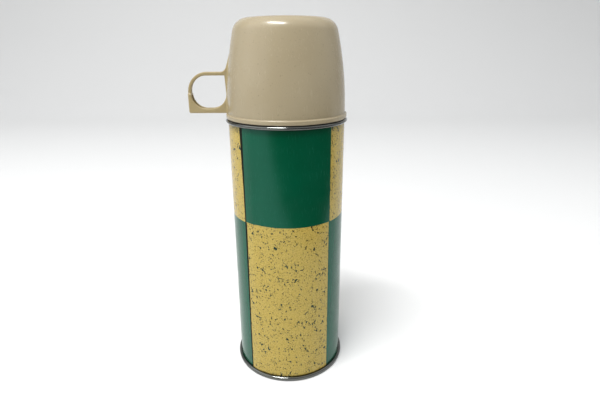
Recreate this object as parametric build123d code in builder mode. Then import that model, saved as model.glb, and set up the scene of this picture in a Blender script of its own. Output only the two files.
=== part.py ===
from build123d import *
import os
from math import cos, degrees, hypot, radians, sin, tan

# Pint vacuum flask: a printed tinplate case with bright rolled ends, a glass filler, a plastic
# collar with a screw stopper, and a handled cup that screws on over the collar as the lid.
# Millimetres.  +Z runs up the axis, the origin is on the axis at the plane the base stands on,
# the cup's handle points along -X and the front panel of the jacket faces -Y.

# ---------------------------------------------------------------- driving dimensions
CASE_R = 40.75           # outside of the jacket
CASE_H = 194.9           # top of the bright top ring
TIN = 0.5                # jacket sheet
RUNNING_GAP = 0.05       # between flat faces of pieces that turn on each other
SEAT_GAP = 0.05          # between round faces of pieces that are pushed together

BASE_RIM_R = 42.8
BASE_RIM_H = 3.0
TOP_RING_R = 42.5
TOP_RING_H = 2.4
SEAM_ANGLE = -133.9      # lap seam of the jacket, counted from +X
SEAM_STEP = 0.4
SEAM_WIDTH = 6.0

CUP_FOOT_Z = CASE_H + 0.55
CUP_TOP_Z = 260.2
CUP_LIP_R = 42.1
CUP_LIP_H = 3.0
CUP_R = 40.85            # cup wall just above the lip
CUP_SIDE_R = 245.0       # radius of the gentle arc of the cup's side
CUP_CROWN_R = 400.0      # radius of the crown of its top
CUP_SHOULDER_R = 10.0
CUP_WALL = 2.2

CUP_LEAD = 12.0          # rise per turn of the cup's two-start thread
CUP_THREAD_STARTS = 2
CUP_RIB_DEPTH = 1.8
CUP_RIB_ROOT = 2.4
CUP_RIB_CREST = 1.4
COLLAR_R = 36.2          # core of the collar under the cup thread
STOPPER_LEAD = 4.0
STOPPER_RIB_ROOT = 1.7
STOPPER_RIB_CREST = 0.9
COLLAR_LEAD = 5.0        # thread that holds the collar in the top ring
COLLAR_RIB_ROOT = 1.8
COLLAR_RIB_CREST = 1.0
BORE_R = 21.0            # threaded mouth of the collar
NECK_R = 14.5            # inside of the glass neck
GLASS = 1.5
GLASS_R = 36.2           # outside of the outer glass
GLASS_LOW_Z = 14.0       # underside of the outer glass, without its tip
GLASS_TOP_Z = 206.0
GLASS_DOME_R = 55.0      # of the glass's rounded bottom
VACUUM = 2.0             # gap between the two glass walls
NECK_TOP_Z = 204.5       # where the two walls are joined
FLANGE_R = 38.4          # of the collar, where it sits on the top ring
FLANGE_H = 1.4
COLLAR_TOP_Z = 228.5
WEB_Z = 210.0            # seat of the stopper gasket in the collar
STOPPER_TOP_Z = 237.5

# ---------------------------------------------------------------- shared shapes


def outline(points, fillets=()):
    """Closed section in the XZ plane from (radius, height) points; fillets are (point, radius)."""
    with BuildSketch(Plane.XZ) as section:
        with BuildLine():
            Polyline(*points, close=True)
        make_face()
        for (r, z), radius in fillets:
            corner = section.vertices().sort_by_distance(Vector(r, z))[0]
            fillet(corner, radius)
    return section.sketch


def screw_rib(root_r, depth, lead, z, turns, start, root_w, crest_w):
    """One rib of a coarse screw thread.  A negative depth points inwards, towards the axis."""
    overlap = 0.3 if depth > 0 else -0.3
    with BuildPart() as rib:
        with BuildLine() as path:
            Helix(lead, lead * turns, root_r, center=(0, 0, z))
        across = Plane(origin=path.line @ 0, x_dir=(1, 0, 0), z_dir=path.line % 0)
        with BuildSketch(across):
            with BuildLine():
                Polyline(
                    (-overlap, -root_w / 2),
                    (0, -root_w / 2),
                    (depth, -crest_w / 2),
                    (depth, crest_w / 2),
                    (0, root_w / 2),
                    (-overlap, root_w / 2),
                    close=True,
                )
            make_face()
        sweep(path=path.line, is_frenet=True)
    return rib.part.rotate(Axis.Z, start)


def bottle_face(radius, floor_z, shoulder, neck, top_z):
    """Half section of one glass wall's surface: domed floor, straight side, shoulder and neck."""
    rise = GLASS_DOME_R - (GLASS_DOME_R**2 - radius**2) ** 0.5
    with BuildSketch(Plane.XZ) as section:
        with BuildLine():
            RadiusArc((0, floor_z), (radius, floor_z + rise), -GLASS_DOME_R)
            Polyline(
                (radius, floor_z + rise), (radius, shoulder), neck, (neck[0], top_z), (0, top_z)
            )
            Line((0, top_z), (0, floor_z))
        make_face()
        for r, z, fillet_r in (
            (radius, floor_z + rise, 16.0),
            (radius, shoulder, 14.0),
            (neck[0], neck[1], 6.0),
        ):
            corner = section.vertices().sort_by_distance(Vector(r, z))[0]
            fillet(corner, fillet_r)
    return section.sketch


def cup_face(inset, foot_z):
    """Half section of the cup's outside, or of its inside when inset by the wall."""
    side_r = CUP_SIDE_R - inset
    side_x = CUP_R - CUP_SIDE_R
    side_z = CUP_FOOT_Z + CUP_LIP_H
    crown_z = CUP_TOP_Z - CUP_CROWN_R
    crown_r = CUP_CROWN_R - inset
    # the side arc and the crown arc meet where both hold
    span = hypot(side_x, side_z - crown_z)
    along = (side_r**2 - crown_r**2 + span**2) / (2 * span)
    across = (side_r**2 - along**2) ** 0.5
    ux, uz = -side_x / span, (crown_z - side_z) / span
    corner = (side_x + along * ux - across * uz, side_z + along * uz + across * ux)
    with BuildSketch(Plane.XZ) as section:
        with BuildLine():
            Line((0, foot_z), (CUP_R - inset, foot_z))
            Line((CUP_R - inset, foot_z), (CUP_R - inset, side_z))
            RadiusArc((CUP_R - inset, side_z), corner, -side_r)
            RadiusArc(corner, (0, crown_z + crown_r), -crown_r)
            Line((0, crown_z + crown_r), (0, foot_z))
        make_face()
        top = section.vertices().sort_by_distance(Vector(*corner))[0]
        fillet(top, CUP_SHOULDER_R - inset)
    return section.sketch


# ---------------------------------------------------------------- case: jacket, rims and base
# The jacket is one sheet wrapped round and lapped: its free edge stands proud down the seam.
seam_end = SEAM_ANGLE + degrees(SEAM_WIDTH / CASE_R)
ramp_end = SEAM_ANGLE + 2 * degrees(SEAM_WIDTH / CASE_R)


def at_angle(radius, angle):
    return (radius * cos(radians(angle)), radius * sin(radians(angle)))


hem_top = 1.2             # the base's hem holds the sheet's edge from here up
jacket_low = hem_top + SEAT_GAP
jacket_high = CASE_H - 1.0 - SEAT_GAP
lap_clearance = 0.2       # between the raised lap and each rolled end
with BuildPart() as jacket:
    with BuildSketch(Plane.XY.offset(jacket_low)):
        Circle(CASE_R)
        Circle(CASE_R - TIN, mode=Mode.SUBTRACT)
    extrude(amount=jacket_high - jacket_low)
    with BuildSketch(Plane.XY.offset(BASE_RIM_H + lap_clearance)):
        with BuildLine():
            Polyline(
                at_angle(CASE_R - TIN / 2, SEAM_ANGLE),
                at_angle(CASE_R + SEAM_STEP, SEAM_ANGLE),
            )
            RadiusArc(
                at_angle(CASE_R + SEAM_STEP, SEAM_ANGLE),
                at_angle(CASE_R + SEAM_STEP, seam_end),
                -(CASE_R + SEAM_STEP),
            )
            Line(at_angle(CASE_R + SEAM_STEP, seam_end), at_angle(CASE_R, ramp_end))
            Line(at_angle(CASE_R, ramp_end), at_angle(CASE_R - TIN / 2, ramp_end))
            RadiusArc(
                at_angle(CASE_R - TIN / 2, ramp_end),
                at_angle(CASE_R - TIN / 2, SEAM_ANGLE),
                CASE_R - TIN / 2,
            )
        make_face()
    extrude(amount=CASE_H - TOP_RING_H - BASE_RIM_H - 2 * lap_clearance)
jacket.part.label = "jacket"

# Pressed tinplate end, seamed over the jacket's bottom edge, with a recessed and beaded panel.
seam_r = CASE_R + SEAT_GAP
chuck_r = CASE_R - TIN - SEAT_GAP
plate_t = 0.6
panel_z = 3.8            # underside of the panel beside the rim; its middle is 1 mm higher
raised_z = panel_z + 1.0
with BuildPart() as base_plate:
    section = outline(
        [
            (0, raised_z),
            (24, raised_z),
            (26, panel_z),
            (chuck_r - plate_t, panel_z),
            (chuck_r - plate_t, 0),
            (BASE_RIM_R, 0),
            (BASE_RIM_R, BASE_RIM_H),
            (seam_r, BASE_RIM_H),
            (seam_r, hem_top),
            (chuck_r, hem_top),
            (chuck_r, panel_z + plate_t),
            (25.7, panel_z + plate_t),
            (23.7, raised_z + plate_t),
            (0, raised_z + plate_t),
        ],
        [((BASE_RIM_R, BASE_RIM_H), 1.3), ((BASE_RIM_R, 0), 1.0), ((chuck_r - plate_t, 0), 0.4)],
    )
    revolve(section, axis=Axis.Z)
base_plate.part.label = "base_plate"

# Bright rolled ring, crimped over the jacket's top edge.  Its neck holds the collar's thread.
ring_bore_r = 37.6
with BuildPart() as top_ring:
    section = outline(
        [
            (ring_bore_r, 182),
            (ring_bore_r + 0.8, 182),
            (ring_bore_r + 0.8, CASE_H - 1.0),
            (seam_r, CASE_H - 1.0),
            (seam_r, CASE_H - TOP_RING_H),
            (TOP_RING_R, CASE_H - TOP_RING_H),
            (TOP_RING_R, CASE_H),
            (ring_bore_r, CASE_H),
        ],
        [((TOP_RING_R, CASE_H - TOP_RING_H), 1.1), ((TOP_RING_R, CASE_H), 1.1)],
    )
    revolve(section, axis=Axis.Z)
    add(screw_rib(ring_bore_r, -0.9, COLLAR_LEAD, 185.0, 1.2, 0, COLLAR_RIB_ROOT, COLLAR_RIB_CREST))
top_ring.part.label = "top_ring"

# ---------------------------------------------------------------- glass filler and its cushions
outer_neck_r = NECK_R + 2 * GLASS + 2.4
with BuildPart() as outer_flask:
    outside = bottle_face(GLASS_R, GLASS_LOW_Z, 170.0, (outer_neck_r, 187.0), NECK_TOP_Z)
    inside = bottle_face(
        GLASS_R - GLASS, GLASS_LOW_Z + GLASS, 169.4, (outer_neck_r - GLASS, 186.4), NECK_TOP_Z
    )
    revolve(outside - inside, axis=Axis.Z)
    # the drawn-off tip where the air was pumped out
    tip_low = 8.2
    tip_r = 1.4
    tip = outline([(0, tip_low), (tip_r, tip_low), (3.2, 15.0), (0, 15.0)], [((tip_r, tip_low), 1.0)])
    revolve(tip, axis=Axis.Z)
outer_flask.part.label = "outer_flask"

inner_r = GLASS_R - GLASS - VACUUM
inner_low = 18.5
with BuildPart() as inner_flask:
    wall = bottle_face(inner_r, inner_low, 168.6, (NECK_R + GLASS, 185.4), GLASS_TOP_Z)
    revolve(wall, axis=Axis.Z)
    # the rolled lip that closes the space between the two walls
    lip = outline(
        [(10, NECK_TOP_Z), (outer_neck_r, NECK_TOP_Z), (outer_neck_r, GLASS_TOP_Z), (10, GLASS_TOP_Z)],
        [((outer_neck_r, GLASS_TOP_Z), 1.0)],
    )
    revolve(lip, axis=Axis.Z)
    hollow = bottle_face(
        inner_r - GLASS, inner_low + GLASS, 168.0, (NECK_R, 184.8), GLASS_TOP_Z + 4
    )
    revolve(hollow, axis=Axis.Z, mode=Mode.SUBTRACT)
inner_flask.part.label = "inner_flask"

# Three pads hold the inner glass centred in the outer one.
pad_in_r = inner_r + SEAT_GAP
pad_out_r = GLASS_R - GLASS - SEAT_GAP
pad_low, pad_w, pad_h = 60, 12, 12
with BuildPart() as spacer_pads:
    with BuildSketch(Plane.XY.offset(pad_low)):
        Circle(pad_out_r)
        Circle(pad_in_r, mode=Mode.SUBTRACT)
    extrude(amount=pad_h)
    with BuildSketch(Plane.XY.offset(pad_low)):
        with PolarLocations(pad_out_r, 3, start_angle=30):
            Rectangle(10, pad_w)
    extrude(amount=pad_h, mode=Mode.INTERSECT)
spacer_pads.part.label = "spacer_pads"

# Rubber cushion between the base panel and the glass, with a well for the tip.
dome_r = GLASS_DOME_R + SEAT_GAP
dome_z = GLASS_LOW_Z + GLASS_DOME_R
cushion_in, cushion_out = 11.0, 23.0
cushion_low = raised_z + plate_t
with BuildPart() as base_cushion:
    with BuildSketch(Plane.XZ):
        with BuildLine():
            low = (cushion_in, dome_z - (dome_r**2 - cushion_in**2) ** 0.5)
            high = (cushion_out, dome_z - (dome_r**2 - cushion_out**2) ** 0.5)
            RadiusArc(low, high, -dome_r)
            Polyline(high, (cushion_out, cushion_low), (cushion_in, cushion_low), low)
        make_face()
    revolve(axis=Axis.Z)
base_cushion.part.label = "base_cushion"

# Rubber ring that caps the glass lip and seals it against the collar.
web_low = WEB_Z - 2.0
socket_r = BORE_R + 0.5   # recess in the collar's underside that holds the gasket
gasket_low = 198.5
with BuildPart() as neck_gasket:
    section = outline(
        [
            (outer_neck_r + SEAT_GAP, gasket_low),
            (socket_r - SEAT_GAP, gasket_low),
            (socket_r - SEAT_GAP, web_low),
            (15.0, web_low),
            (15.0, GLASS_TOP_Z),
            (outer_neck_r + SEAT_GAP, GLASS_TOP_Z),
        ]
    )
    revolve(section, axis=Axis.Z)
neck_gasket.part.label = "neck_gasket"

# ---------------------------------------------------------------- collar
# One moulding: a skirt that screws into the top ring, a foot flange, the wide cup thread,
# a sloping shoulder and a threaded mouth with a pouring lip.
skirt_in_r = COLLAR_R - 2.4
skirt_low = 184
shoulder_low = 212.0
neck_out_r = BORE_R + 3.4
neck_low = 218.0
spout_r = neck_out_r + 1.2
flange_top = CASE_H + FLANGE_H
with BuildPart() as collar:
    section = outline(
        [
            (skirt_in_r, skirt_low),
            (COLLAR_R, skirt_low),
            (COLLAR_R, CASE_H),
            (FLANGE_R, CASE_H),
            (FLANGE_R, flange_top),
            (COLLAR_R, flange_top),
            (COLLAR_R, shoulder_low),
            (neck_out_r, neck_low),
            (neck_out_r, COLLAR_TOP_Z - 2.4),
            (spout_r, COLLAR_TOP_Z),
            (BORE_R, COLLAR_TOP_Z),
            (BORE_R, WEB_Z),
            (15.5, WEB_Z),
            (15.5, web_low),
            (socket_r, web_low),
            (socket_r, gasket_low),
            (neck_out_r - 0.6, gasket_low),
            (neck_out_r - 0.6, 214.6),
            (skirt_in_r, 209.9),
        ],
        [
            ((COLLAR_R, shoulder_low), 3.0),
            ((neck_out_r, neck_low), 2.0),
            ((spout_r, COLLAR_TOP_Z), 0.8),
            ((FLANGE_R, flange_top), 0.5),
        ],
    )
    revolve(section, axis=Axis.Z)
    add(screw_rib(COLLAR_R, 1.0, COLLAR_LEAD, 187.2, 1.0, 0, COLLAR_RIB_ROOT, COLLAR_RIB_CREST))
    for start in range(CUP_THREAD_STARTS):
        turn = start * 360 / CUP_THREAD_STARTS
        add(
            screw_rib(
                COLLAR_R, CUP_RIB_DEPTH, CUP_LEAD, 200.0, 0.75, turn, CUP_RIB_ROOT, CUP_RIB_CREST
            )
        )
    add(
        screw_rib(BORE_R, -1.1, STOPPER_LEAD, 214.6, 2.5, 0, STOPPER_RIB_ROOT, STOPPER_RIB_CREST)
    )
collar.part.label = "collar"

# ---------------------------------------------------------------- stopper
plug_r = 13.2
plug_low = 192.0
stopper_core_r = 19.4
shoulder_z = 212.6
cavity_r = 17.0
cavity_low = 215.0
body_top = 229.0
skin = 2.0               # wall of the plug
with BuildPart() as stopper_body:
    section = outline(
        [
            (0, plug_low),
            (plug_r, plug_low),
            (plug_r, shoulder_z),
            (stopper_core_r, shoulder_z),
            (stopper_core_r, body_top),
            (cavity_r, body_top),
            (cavity_r, cavity_low),
            (plug_r - skin, cavity_low),
            (plug_r - skin, plug_low + skin),
            (0, plug_low + skin),
        ],
        [((plug_r, plug_low), 3.0), ((stopper_core_r, shoulder_z), 0.6)],
    )
    revolve(section, axis=Axis.Z)
    # this rib runs midway between the turns of the collar's
    add(
        screw_rib(
            stopper_core_r, 1.2, STOPPER_LEAD, 216.6, 2.25, 0, STOPPER_RIB_ROOT, STOPPER_RIB_CREST
        )
    )
stopper_body.part.label = "stopper_body"

cap_r = 22.5
cap_edge_r = cap_r - 0.8
cap_plug_r = cavity_r - 0.1
cap_plug_low = body_top - 4.0
cap_flutes = 24
dish_depth = 1.2
with BuildPart() as stopper_cap:
    section = outline(
        [
            (0, cap_plug_low),
            (cap_plug_r, cap_plug_low),
            (cap_plug_r, body_top),
            (cap_r, body_top),
            (cap_edge_r, STOPPER_TOP_Z),
            (cap_r - 4.0, STOPPER_TOP_Z),
            (cap_r - 4.6, STOPPER_TOP_Z - dish_depth),
            (0, STOPPER_TOP_Z - dish_depth),
        ],
        [((cap_edge_r, STOPPER_TOP_Z), 1.6), ((cap_r, body_top), 0.5)],
    )
    revolve(section, axis=Axis.Z)
    with BuildSketch(Plane.XY.offset(body_top - 1)):
        with PolarLocations(cap_r + 0.7, cap_flutes):
            Circle(1.4)
    extrude(amount=STOPPER_TOP_Z - body_top - 1, mode=Mode.SUBTRACT)
stopper_cap.part.label = "stopper_cap"

foam_gap = 0.1
with BuildPart() as stopper_insulation:
    section = outline(
        [
            (0, plug_low + skin),
            (plug_r - skin - foam_gap, plug_low + skin),
            (plug_r - skin - foam_gap, cavity_low),
            (cavity_r - foam_gap, cavity_low),
            (cavity_r - foam_gap, cap_plug_low - foam_gap),
            (0, cap_plug_low - foam_gap),
        ]
    )
    revolve(section, axis=Axis.Z)
stopper_insulation.part.label = "stopper_insulation"

gasket_in_r = plug_r + 0.4
gasket_out_r = 18.8
with BuildPart() as stopper_gasket:
    section = outline(
        [
            (gasket_in_r, WEB_Z + RUNNING_GAP),
            (gasket_out_r, WEB_Z + RUNNING_GAP),
            (gasket_out_r, shoulder_z - RUNNING_GAP),
            (gasket_in_r, shoulder_z - RUNNING_GAP),
        ]
    )
    revolve(section, axis=Axis.Z)
stopper_gasket.part.label = "stopper_gasket"

# ---------------------------------------------------------------- cup and its sealing ring
seal_in_r, seal_out_r = 38.9, 41.3
with BuildPart() as rim_seal:
    section = outline(
        [
            (seal_in_r, CASE_H + RUNNING_GAP),
            (seal_out_r, CASE_H + RUNNING_GAP),
            (seal_out_r, CUP_FOOT_Z - RUNNING_GAP),
            (seal_in_r, CUP_FOOT_Z - RUNNING_GAP),
        ]
    )
    revolve(section, axis=Axis.Z)
rim_seal.part.label = "rim_seal"

# The handle is a loop moulded with the cup: a slim strap above, and below it two webs with an
# open channel between them.  Distances here are out from the axis, along -X.
STRAP_OUT = 67.75        # outside of the strap
STRAP_IN = 65.5
STRAP_UNDER_Z = 223.25
STRAP_OUT_R = 13.5
STRAP_IN_R = 10.6
STRAP_W = 4.0
LOOP_TOP_Z = 225.5
LOOP_STEP_Z = 211.4      # where the strap meets the webs
LOOP_BOTTOM_Z = 198.1
WEB_OUT = STRAP_OUT      # outside of the webs
WEB_IN = 65.4
WEB_FLOOR_Z = 201.25
WEB_IN_R = 9.9           # of the finger gap's lower corner away from the cup
WEB_ROOT_R = 11.0        # of its lower corner beside the cup
WEBS_W = 7.0
WEB_T = 1.5
BACK_T = 1.6             # outer wall and floor of the channel
RIB_TOP = 42.2           # tapered rib down the cup's side, at the strap and at the webs
RIB_LOW = 41.5
GUSSET_OUT = 44.2        # where the strap's top turns up into a slim gusset
GUSSET_R = 3.5
GUSSET_H = 11.4          # of the gusset above the strap, to where it runs into the cup's side
GUSSET_LEAN = 19.0       # of the gusset's edge from the vertical
HIDDEN = 37.0            # within the cup's wall
strap_low = LOOP_STEP_Z - 1.0
web_high = WEB_FLOOR_Z + WEB_ROOT_R
lean = radians(GUSSET_LEAN)
bend_end = (-GUSSET_OUT + GUSSET_R * cos(lean), LOOP_TOP_Z + GUSSET_R * (1 - sin(lean)))
gusset_z = LOOP_TOP_Z + GUSSET_H
gusset_tip = (bend_end[0] + (gusset_z - bend_end[1]) * tan(lean), gusset_z)

with BuildPart() as cup:
    revolve(cup_face(0, CUP_FOOT_Z), axis=Axis.Z)
    lip_in = CUP_R - CUP_WALL - 5.0
    lip_top = CUP_FOOT_Z + CUP_LIP_H
    lip = outline(
        [(lip_in, CUP_FOOT_Z), (CUP_LIP_R, CUP_FOOT_Z), (CUP_LIP_R, lip_top), (lip_in, lip_top)],
        [((CUP_LIP_R, CUP_FOOT_Z), 0.6), ((CUP_LIP_R, lip_top), 0.7)],
    )
    revolve(lip, axis=Axis.Z)
    # strap, with its gusset up the cup's side and its tapered rib down it
    with BuildSketch(Plane.XZ):
        with BuildLine():
            Polyline((-HIDDEN, gusset_z), gusset_tip, bend_end)
            RadiusArc(bend_end, (-GUSSET_OUT, LOOP_TOP_Z), GUSSET_R)
            bend = (-STRAP_OUT + STRAP_OUT_R, LOOP_TOP_Z)
            side = (-STRAP_OUT, LOOP_TOP_Z - STRAP_OUT_R)
            Line((-GUSSET_OUT, LOOP_TOP_Z), bend)
            RadiusArc(bend, side, -STRAP_OUT_R)
            Polyline(side, (-STRAP_OUT, strap_low), (-STRAP_IN, strap_low))
            inner_side = (-STRAP_IN, STRAP_UNDER_Z - STRAP_IN_R)
            inner_bend = (-STRAP_IN + STRAP_IN_R, STRAP_UNDER_Z)
            Line((-STRAP_IN, strap_low), inner_side)
            RadiusArc(inner_side, inner_bend, STRAP_IN_R)
            Polyline(
                inner_bend,
                (-RIB_TOP, STRAP_UNDER_Z),
                (-RIB_LOW, strap_low),
                (-HIDDEN, strap_low),
                (-HIDDEN, gusset_z),
            )
        make_face()
    extrude(amount=STRAP_W / 2, both=True)
    # webs: square outside, rounded inside
    with BuildSketch(Plane.XZ) as webs:
        with BuildLine():
            far_side = (-WEB_IN, WEB_FLOOR_Z + WEB_IN_R)
            far_floor = (-WEB_IN + WEB_IN_R, WEB_FLOOR_Z)
            near_floor = (-RIB_LOW - WEB_ROOT_R + 0.5, WEB_FLOOR_Z)
            near_side = (-RIB_LOW + 0.5, web_high)
            Polyline(
                (-HIDDEN, LOOP_BOTTOM_Z),
                (-WEB_OUT, LOOP_BOTTOM_Z),
                (-WEB_OUT, LOOP_STEP_Z),
                (-WEB_IN, LOOP_STEP_Z),
                far_side,
            )
            RadiusArc(far_side, far_floor, -WEB_IN_R)
            Line(far_floor, near_floor)
            RadiusArc(near_floor, near_side, -WEB_ROOT_R)
            Polyline(near_side, (-HIDDEN, web_high), (-HIDDEN, LOOP_BOTTOM_Z))
        make_face()
        corner = webs.vertices().sort_by_distance(Vector(-WEB_OUT, LOOP_BOTTOM_Z))[0]
        fillet(corner, 1.0)
    extrude(amount=WEBS_W / 2, both=True)
    # the channel between the webs, open to the finger gap
    with BuildSketch(Plane.XZ):
        with BuildLine():
            channel_in = CUP_R + 1.8
            channel_high = LOOP_STEP_Z - 1.2
            Polyline(
                (-channel_in, LOOP_BOTTOM_Z + BACK_T),
                (-WEB_OUT + BACK_T, LOOP_BOTTOM_Z + BACK_T),
                (-WEB_OUT + BACK_T, channel_high),
                (-channel_in, channel_high),
                close=True,
            )
        make_face()
    extrude(amount=WEBS_W / 2 - WEB_T, both=True, mode=Mode.SUBTRACT)
    revolve(cup_face(CUP_WALL, CUP_FOOT_Z - 1), axis=Axis.Z, mode=Mode.SUBTRACT)
    # these ribs run midway between the turns of the collar's
    for start in range(CUP_THREAD_STARTS):
        turn = start * 360 / CUP_THREAD_STARTS
        add(
            screw_rib(
                CUP_R - CUP_WALL,
                -CUP_RIB_DEPTH,
                CUP_LEAD,
                203.0,
                0.45,
                turn,
                CUP_RIB_ROOT,
                CUP_RIB_CREST,
            )
        )
cup.part.label = "cup"

# ---------------------------------------------------------------- files
os.makedirs("parts", exist_ok=True)
for piece in (
    jacket,
    base_plate,
    top_ring,
    outer_flask,
    inner_flask,
    spacer_pads,
    base_cushion,
    neck_gasket,
    collar,
    stopper_body,
    stopper_cap,
    stopper_insulation,
    stopper_gasket,
    rim_seal,
    cup,
):
    export_step(piece.part, f"parts/{piece.part.label}.step")
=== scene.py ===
from math import atan2, cos, hypot, pi, radians, sin, sqrt, tan

import bpy
import numpy as np
from mathutils import Euler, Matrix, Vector


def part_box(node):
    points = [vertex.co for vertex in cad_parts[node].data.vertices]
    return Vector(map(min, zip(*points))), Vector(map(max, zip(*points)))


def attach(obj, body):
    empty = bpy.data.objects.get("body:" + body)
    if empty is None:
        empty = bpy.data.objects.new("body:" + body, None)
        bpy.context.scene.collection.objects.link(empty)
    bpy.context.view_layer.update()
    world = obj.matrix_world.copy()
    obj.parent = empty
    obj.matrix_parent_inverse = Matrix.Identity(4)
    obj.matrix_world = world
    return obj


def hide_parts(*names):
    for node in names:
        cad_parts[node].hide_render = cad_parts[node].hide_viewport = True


# The pint vacuum flask's looks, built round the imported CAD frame.  Shapes are worked out in
# millimetres and written to the meshes in metres.  +Z is up, the axis is Z, the front is -Y.

MM = 0.001
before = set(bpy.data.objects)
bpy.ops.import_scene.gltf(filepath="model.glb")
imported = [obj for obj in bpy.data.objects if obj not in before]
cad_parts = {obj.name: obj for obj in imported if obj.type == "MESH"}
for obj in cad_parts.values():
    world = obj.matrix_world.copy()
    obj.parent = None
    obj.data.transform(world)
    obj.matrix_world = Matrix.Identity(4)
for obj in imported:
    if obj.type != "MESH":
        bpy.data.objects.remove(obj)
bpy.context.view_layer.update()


def edge(node, which, axis):
    """One side of a CAD node's box, in millimetres."""
    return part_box(node)[which]["xyz".index(axis)] / MM


# ---------------------------------------------------------------- sizes read from the frame
CASE_R = edge("jacket", 1, "x")
CASE_H = edge("top_ring", 1, "z")
BASE_R = edge("base_plate", 1, "x")
RING_R = edge("top_ring", 1, "x")
CUP_FOOT = edge("cup", 0, "z")
CUP_TOP = edge("cup", 1, "z")
LIP_R = edge("cup", 1, "x")
LOOP_OUT = -edge("cup", 0, "x")
COLLAR_TOP = edge("collar", 1, "z")
STOPPER_LOW = edge("stopper_body", 0, "z")
STOPPER_TOP = edge("stopper_cap", 1, "z")
CAP_LOW = edge("stopper_body", 1, "z")

# the same driving dimensions as the CAD part's
BASE_H = 3.0
RING_H = 2.4
RING_BORE = 37.6            # threaded bore of the top ring, and the outside of its neck
RING_NECK = 38.4
TIN = 0.5
SEAT_R = CASE_R + 0.05      # inside of both rolled ends, where they clasp the sheet
SEAM_ANGLE = radians(-133.9)
LIP_H = 3.0
CUP_R = LIP_R - 1.25
SIDE_R = 245.0              # radius of the gentle arc of the cup's side
CROWN_R = 400.0             # radius of the crown of its top
SHOULDER_R = 10.0
CUP_WALL = 2.2
COLLAR_R = 36.2             # core of the collar under the cup's thread
SKIRT_LOW = 184.0           # lower end of the collar, inside the case
FLANGE_R = 38.4             # of the collar, where it sits on the top ring
FLANGE_H = 1.4
BORE_R = 21.0               # threaded mouth of the collar
WEB_Z = 210.0               # seat of the stopper's gasket in the collar
CUP_LEAD = 12.0             # rise per turn of each thread
COLLAR_LEAD = 5.0
STOPPER_LEAD = 4.0
CUP_RIB = (2.4, 1.4)        # widths of each thread's rib at its root and its crest
COLLAR_RIB = (1.8, 1.0)
STOPPER_RIB = (1.7, 0.9)
CUP_RIB_DEPTH = 1.8
STOPPER_CAVITY = 17.0       # inside of the stopper, which the cap's spigot closes


# ---------------------------------------------------------------- mesh helpers
def new_piece(name, points, faces, body, stands_for, slot, mat):
    """A smooth mesh piece from points in millimetres, riding on a CAD body."""
    mesh = bpy.data.meshes.new(name)
    mesh.from_pydata([tuple(float(c) * MM for c in p) for p in points], [], faces)
    mesh.validate()
    mesh.update()
    mesh.shade_smooth()
    piece = bpy.data.objects.new(name, mesh)
    bpy.context.scene.collection.objects.link(piece)
    mesh.materials.append(mat)
    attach(piece, body)
    if stands_for:
        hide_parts(*stands_for)
    return piece


def rounded(corners, steps=6, support=0.15):
    """A closed outline through (r, z, radius) corners, each rounded, with a point beside each arc."""
    out = []
    for i, (x, z, radius) in enumerate(corners):
        here = Vector((x, z))
        if not radius:
            out.append(tuple(here))
            continue
        before = (Vector(corners[i - 1][:2]) - here).normalized()
        after = (Vector(corners[(i + 1) % len(corners)][:2]) - here).normalized()
        half = before.angle(after) / 2
        back = radius / tan(half)
        centre = here + (before + after).normalized() * radius / sin(half)
        first = (here + before * back - centre) / radius
        last = (here + after * back - centre) / radius
        turn = first.angle(last)
        out.append(tuple(here + before * (back + support)))
        for k in range(steps + 1):
            t = k / steps
            way = (first * sin((1 - t) * turn) + last * sin(t * turn)) / sin(turn)
            out.append(tuple(centre + way * radius))
        out.append(tuple(here + after * (back + support)))
    return out


def arc(x, z, radius, first, last, steps):
    """Points of an arc round (x, z) from one angle to another, both ends included."""
    angles = [first + (last - first) * k / steps for k in range(steps + 1)]
    return [(x + radius * cos(angle), z + radius * sin(angle)) for angle in angles]


def lathe(outline, around=192):
    """Points and faces of a closed (r, z) outline turned about the axis; it runs anticlockwise."""
    points, rings = [], []
    for r, z in outline:
        if r < 1e-6:
            rings.append([len(points)])
            points.append((0, 0, z))
            continue
        rings.append(list(range(len(points), len(points) + around)))
        points += [(r * cos(2 * pi * k / around), r * sin(2 * pi * k / around), z) for k in range(around)]
    faces = []
    for a, b in zip(rings, rings[1:] + rings[:1]):
        for k in range(around):
            n = (k + 1) % around
            if len(a) == 1 and len(b) == 1:
                continue
            if len(a) == 1:
                faces.append((a[0], b[n], b[k]))
            elif len(b) == 1:
                faces.append((a[k], a[n], b[0]))
            else:
                faces.append((a[k], a[n], b[n], b[k]))
    return points, faces


def join(*meshes):
    """Several (points, faces) as one."""
    points, faces = [], []
    for p, f in meshes:
        base = len(points)
        points += list(p)
        faces += [tuple(i + base for i in face) for face in f]
    return points, faces


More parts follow.
